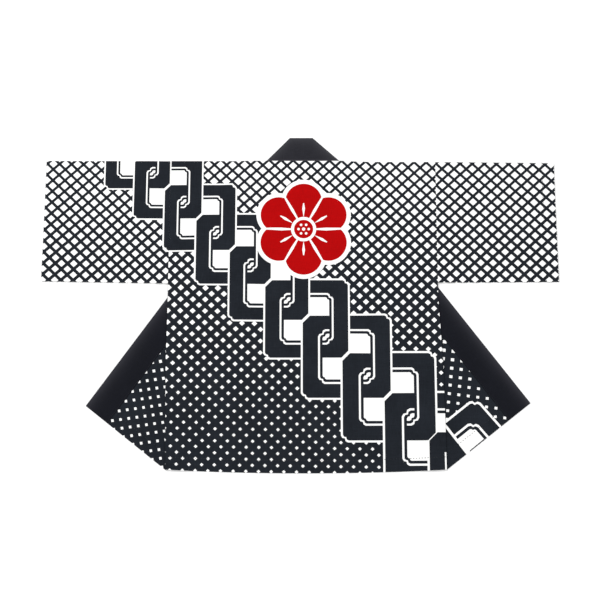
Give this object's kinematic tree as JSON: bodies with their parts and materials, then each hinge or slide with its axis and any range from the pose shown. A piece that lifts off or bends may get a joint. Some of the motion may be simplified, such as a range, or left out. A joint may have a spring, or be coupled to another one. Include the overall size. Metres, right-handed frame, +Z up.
{
  "type": "happi coat laid flat",
  "caption": "Open-fronted cotton festival coat with wide straight sleeves and a plain collar band, laid flat with its back up and both fronts folded outwards beneath it.",
  "frame": {"origin": "middle of the coat's outline in plan, on the surface that it lies on", "axes": "+X from cuff to cuff, to the wearer's right; +Y from the hem to the neck; +Z up, out of the coat's back"},
  "size_m": [1.2576, 0.8312, 0.0056],
  "materials": {
    "printed_cotton": "plain-weave cotton printed in black on white",
    "collar_cotton": "plain black cotton, four plies"
  },
  "bodies": {
    "root": {"back": "printed_cotton", "front_left": "printed_cotton", "front_right": "printed_cotton", "sleeve_left": "printed_cotton", "sleeve_right": "printed_cotton", "collar": "collar_cotton"}
  },
  "joints": []
}
